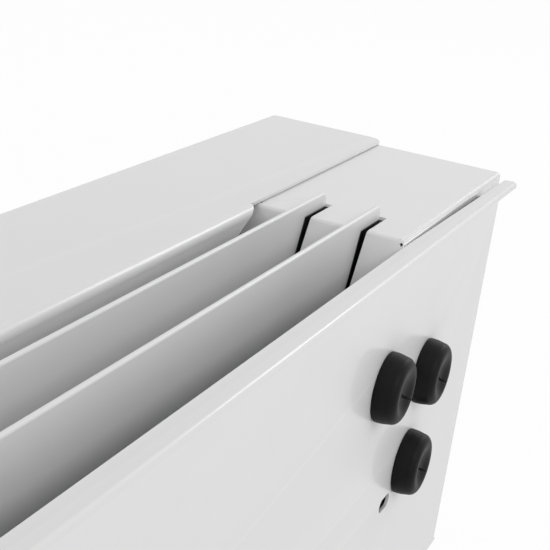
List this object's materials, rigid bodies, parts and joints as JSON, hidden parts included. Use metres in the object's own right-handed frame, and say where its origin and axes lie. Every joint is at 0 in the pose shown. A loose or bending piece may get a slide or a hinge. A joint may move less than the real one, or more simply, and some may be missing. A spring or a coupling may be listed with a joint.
{
  "type": "air curtain",
  "caption": "Long white sheet-metal air curtain with a slotted outlet, tilting air vanes, cross-flow fan, heating tubes and rubber cable grommets in its wall panel.",
  "frame": {"origin": "middle of the base, which is the unit's top once it hangs over a door, halfway along the length and halfway between the wall panel and the front", "axes": "+X along the length towards the end with the cable grommets, -Y out of the wall panel, +Z out of the air outlet"},
  "size_m": [1, 0.1658, 0.2161],
  "materials": {
    "casing_white": "semi-gloss white powder coat",
    "vane_white": "semi-gloss white powder coat",
    "galvanised": "galvanised sheet",
    "rubber_black": "moulded matt black rubber",
    "rotor_aluminium": "mill finish",
    "bright_steel": "zinc plated",
    "motor_black": "satin black",
    "heater_sheath": "annealed sheath",
    "cutout_black": "moulded phenolic",
    "terminal_grey": "moulded nylon",
    "board_green": "solder mask",
    "relay_black": "moulded",
    "capacitor_white": "moulded can",
    "saddle_grey": "moulded nylon"
  },
  "bodies": {
    "casing": {"back_panel": "casing_white", "front_cover": "casing_white", "outlet_end_right": "casing_white", "outlet_end_left": "casing_white", "side_panel_right": "casing_white", "side_panel_left": "casing_white", "vane_bracket_right": "galvanised", "vane_bracket_left": "galvanised", "duct_end_right": "galvanised", "duct_end_left": "galvanised", "scroll_plate": "galvanised", "tongue_plate": "galvanised", "terminal_rail": "galvanised", "capacitor_clip": "galvanised", "cable_grommet_inner": "rubber_black", "cable_grommet_outer": "rubber_black", "cable_grommet_lower": "rubber_black", "bearing_rubber": "rubber_black", "bearing_ring": "bright_steel", "motor_posts": "bright_steel", "board_posts": "bright_steel", "earth_stud": "bright_steel", "earth_washer": "bright_steel", "earth_nut": "bright_steel", "cover_screws": "bright_steel", "fan_motor": "motor_black", "heating_element_rear": "heater_sheath", "heating_element_middle": "heater_sheath", "heating_element_front": "heater_sheath", "thermal_cutout": "cutout_black", "terminal_block": "terminal_grey", "control_board": "board_green", "relays": "relay_black", "fan_capacitor": "capacitor_white", "cable_saddle": "saddle_grey"},
    "rotor": {"fan_rotor": "rotor_aluminium", "stub_shaft": "bright_steel", "motor_shaft": "bright_steel"},
    "vane_front": {"vane_front": "vane_white", "vane_rod_front": "bright_steel"},
    "vane_rear": {"vane_rear": "vane_white", "vane_rod_rear": "bright_steel"}
  },
  "joints": [
    {"name": "rotor_spin", "type": "hinge", "parent": "casing", "child": "rotor", "pos_m": [0, 0.0125, 0.062], "axis": [1, 0, 0], "continuous": true},
    {"name": "vane_front_tilt", "type": "hinge", "parent": "casing", "child": "vane_front", "pos_m": [0, -0.0171, 0.162], "axis": [1, 0, 0], "range_deg": [-5, 2.5]},
    {"name": "vane_rear_tilt", "type": "hinge", "parent": "casing", "child": "vane_rear", "pos_m": [0, -0.0445, 0.162], "axis": [1, 0, 0], "range_deg": [-5, 2.5]}
  ]
}
